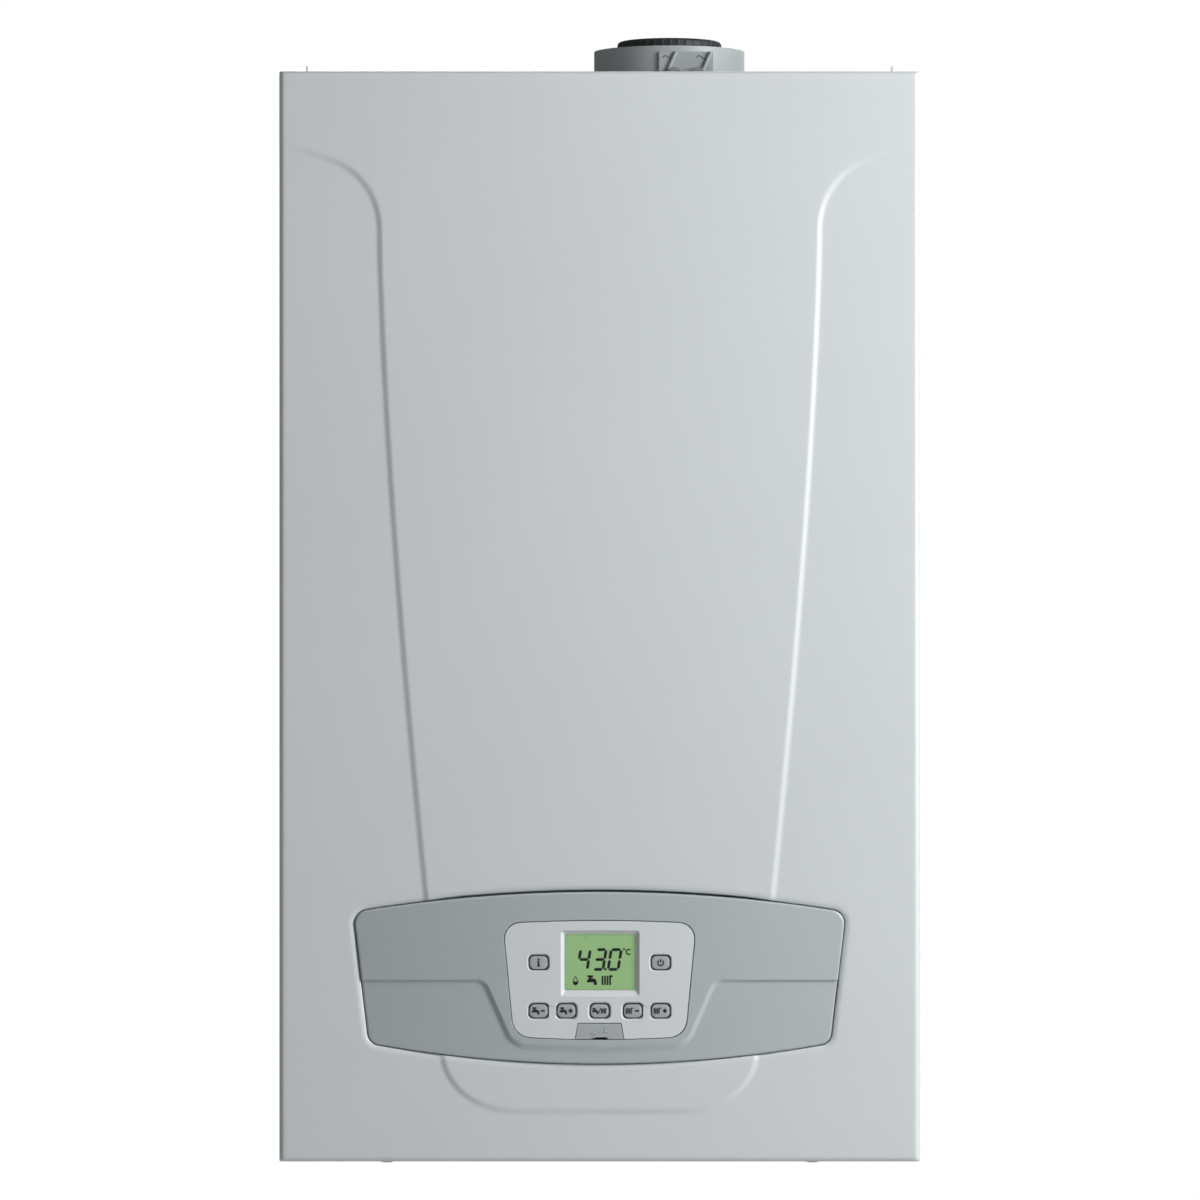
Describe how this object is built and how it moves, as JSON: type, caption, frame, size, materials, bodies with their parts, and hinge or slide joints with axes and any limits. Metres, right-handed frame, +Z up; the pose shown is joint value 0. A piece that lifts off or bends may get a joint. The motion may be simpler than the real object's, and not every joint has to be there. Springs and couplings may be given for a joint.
{
  "type": "condensing boiler",
  "caption": "Wall-hung condensing boiler: pressed casing with raised shield, control fascia with display and keys, concentric flue collar, burner group, pump group and pipe connections",
  "frame": {"origin": "midway between the two hanging slots, on the wall plane", "axes": "+X to the right seen from the front, +Y into the wall, +Z up"},
  "size_m": [0.45, 0.3492, 0.8206],
  "materials": {
    "casing_paint": "smooth satin powder coat",
    "frame_paint": "satin pre-painted sheet",
    "galvanised": "galvanised sheet",
    "screw_steel": "zinc plated",
    "gasket_foam": "matt foam strip",
    "collar_plastic": "matt moulded grey",
    "seal_rubber": "matt moulded rubber",
    "cap_plastic": "matt moulded grey",
    "flue_steel": "bright rolled steel",
    "vessel_paint": "gloss red paint",
    "braid_steel": "braided steel",
    "cast_alloy": "as-cast alloy",
    "stainless": "stainless steel",
    "ceramic": "glazed ceramic",
    "black_plastic": "matt moulded black",
    "lead_rubber": "silicone rubber",
    "fan_plastic": "glass-filled moulding",
    "silencer_plastic": "blow-moulded dark grey",
    "copper": "drawn copper tube",
    "brass": "machined brass",
    "pump_iron": "painted casting",
    "pump_paint": "dark red paint",
    "knob_red": "matt moulded red",
    "knob_black": "matt moulded black",
    "gauge_plastic": "matt moulded black",
    "needle_paint": "painted needle",
    "trap_plastic": "matt moulded grey",
    "hose_plastic": "corrugated plastic",
    "box_plastic": "matt moulded dark grey",
    "fascia_plastic": "silver-grey satin plastic",
    "bezel_plastic": "light grey matt plastic",
    "lcd": "green reflective display",
    "board_green": "coated circuit board",
    "button_plastic": "fine-textured keys",
    "flap_plastic": "light grey matt plastic"
  },
  "bodies": {
    "cabinet": {"casing_gasket": "gasket_foam", "side_panel_left": "frame_paint", "side_panel_right": "frame_paint", "top_panel": "frame_paint", "back_frame": "galvanised", "bottom_plate": "galvanised", "support_rails": "galvanised", "frame_screws": "screw_steel", "flue_adaptor": "collar_plastic", "flue_pipe": "flue_steel", "flue_seal": "seal_rubber", "sampling_caps": "cap_plastic", "air_cover": "collar_plastic", "expansion_vessel": "vessel_paint", "vessel_hose": "braid_steel", "exchanger_housing": "cast_alloy", "exchanger_coil": "stainless", "burner": "stainless", "burner_door": "cast_alloy", "door_nuts": "screw_steel", "ignition_electrode": "ceramic", "spark_generator": "black_plastic", "ignition_lead": "lead_rubber", "fan_housing": "cast_alloy", "fan_motor": "black_plastic", "gas_mixer": "cast_alloy", "air_silencer": "silencer_plastic", "gas_valve": "cast_alloy", "gas_pipe": "copper", "gas_feed_tube": "copper", "flow_pipe": "copper", "return_pipe": "copper", "plate_heat_exchanger": "stainless", "diverter_block": "brass", "diverter_motor": "black_plastic", "pump_block": "pump_iron", "pump_motor": "pump_paint", "air_vent": "brass", "pressure_gauge": "gauge_plastic", "condensate_trap": "trap_plastic", "condensate_hose": "hose_plastic"},
    "casing": {"front_casing": "casing_paint", "casing_screws": "screw_steel"},
    "control_unit": {"control_box": "box_plastic", "fascia": "fascia_plastic", "display_panel": "bezel_plastic", "display": "lcd", "main_board": "board_green"},
    "button_info_key": {"button_info": "button_plastic"},
    "button_reset_key": {"button_reset": "button_plastic"},
    "button_water_down_key": {"button_water_down": "button_plastic"},
    "button_water_up_key": {"button_water_up": "button_plastic"},
    "button_mode_key": {"button_mode": "button_plastic"},
    "button_heating_down_key": {"button_heating_down": "button_plastic"},
    "button_heating_up_key": {"button_heating_up": "button_plastic"},
    "service_flap": {"service_cover": "flap_plastic"},
    "fan_rotor": {"fan_impeller": "fan_plastic"},
    "relief_knob": {"safety_knob": "knob_red"},
    "fill_knob": {"filling_knob": "knob_black"},
    "needle": {"gauge_needle": "needle_paint"}
  },
  "joints": [
    {"name": "casing_slide", "type": "slide", "parent": "cabinet", "child": "casing", "axis": [0, -1, 0], "range_m": [0, 0.5]},
    {"name": "control_box_swing", "type": "hinge", "parent": "cabinet", "child": "control_unit", "pos_m": [0, -0.326, -0.685], "axis": [1, 0, 0], "range_deg": [0, 90]},
    {"name": "button_info_press", "type": "slide", "parent": "control_unit", "child": "button_info_key", "axis": [0, 1, 0], "range_m": [0, 0.001], "stiffness_N_per_m": 400},
    {"name": "button_reset_press", "type": "slide", "parent": "control_unit", "child": "button_reset_key", "axis": [0, 1, 0], "range_m": [0, 0.001], "stiffness_N_per_m": 400},
    {"name": "button_water_down_press", "type": "slide", "parent": "control_unit", "child": "button_water_down_key", "axis": [0, 1, 0], "range_m": [0, 0.001], "stiffness_N_per_m": 400},
    {"name": "button_water_up_press", "type": "slide", "parent": "control_unit", "child": "button_water_up_key", "axis": [0, 1, 0], "range_m": [0, 0.001], "stiffness_N_per_m": 400},
    {"name": "button_mode_press", "type": "slide", "parent": "control_unit", "child": "button_mode_key", "axis": [0, 1, 0], "range_m": [0, 0.001], "stiffness_N_per_m": 400},
    {"name": "button_heating_down_press", "type": "slide", "parent": "control_unit", "child": "button_heating_down_key", "axis": [0, 1, 0], "range_m": [0, 0.001], "stiffness_N_per_m": 400},
    {"name": "button_heating_up_press", "type": "slide", "parent": "control_unit", "child": "button_heating_up_key", "axis": [0, 1, 0], "range_m": [0, 0.001], "stiffness_N_per_m": 400},
    {"name": "service_cover_hinge", "type": "hinge", "parent": "control_unit", "child": "service_flap", "pos_m": [0, -0.3469, -0.6243], "axis": [-1, 0, 0], "range_deg": [0, 100]},
    {"name": "fan_spin", "type": "hinge", "parent": "cabinet", "child": "fan_rotor", "pos_m": [-0.13, -0.28, -0.217], "axis": [0, -1, 0], "continuous": true},
    {"name": "safety_knob_turn", "type": "hinge", "parent": "cabinet", "child": "relief_knob", "pos_m": [0.172, -0.15, -0.678], "axis": [0, -1, 0], "range_deg": [0, 90]},
    {"name": "filling_knob_turn", "type": "hinge", "parent": "cabinet", "child": "fill_knob", "pos_m": [0.098, -0.13, -0.7], "axis": [0, 0, 1], "range_deg": [0, 180]},
    {"name": "gauge_needle_turn", "type": "hinge", "parent": "cabinet", "child": "needle", "pos_m": [-0.165, -0.225, -0.716], "axis": [0, 0, 1], "range_deg": [0, 270]}
  ],
  "couplings": [
    {"joint": "control_box_swing", "follows": "casing_slide", "rad_per_m": 3.1415}
  ]
}
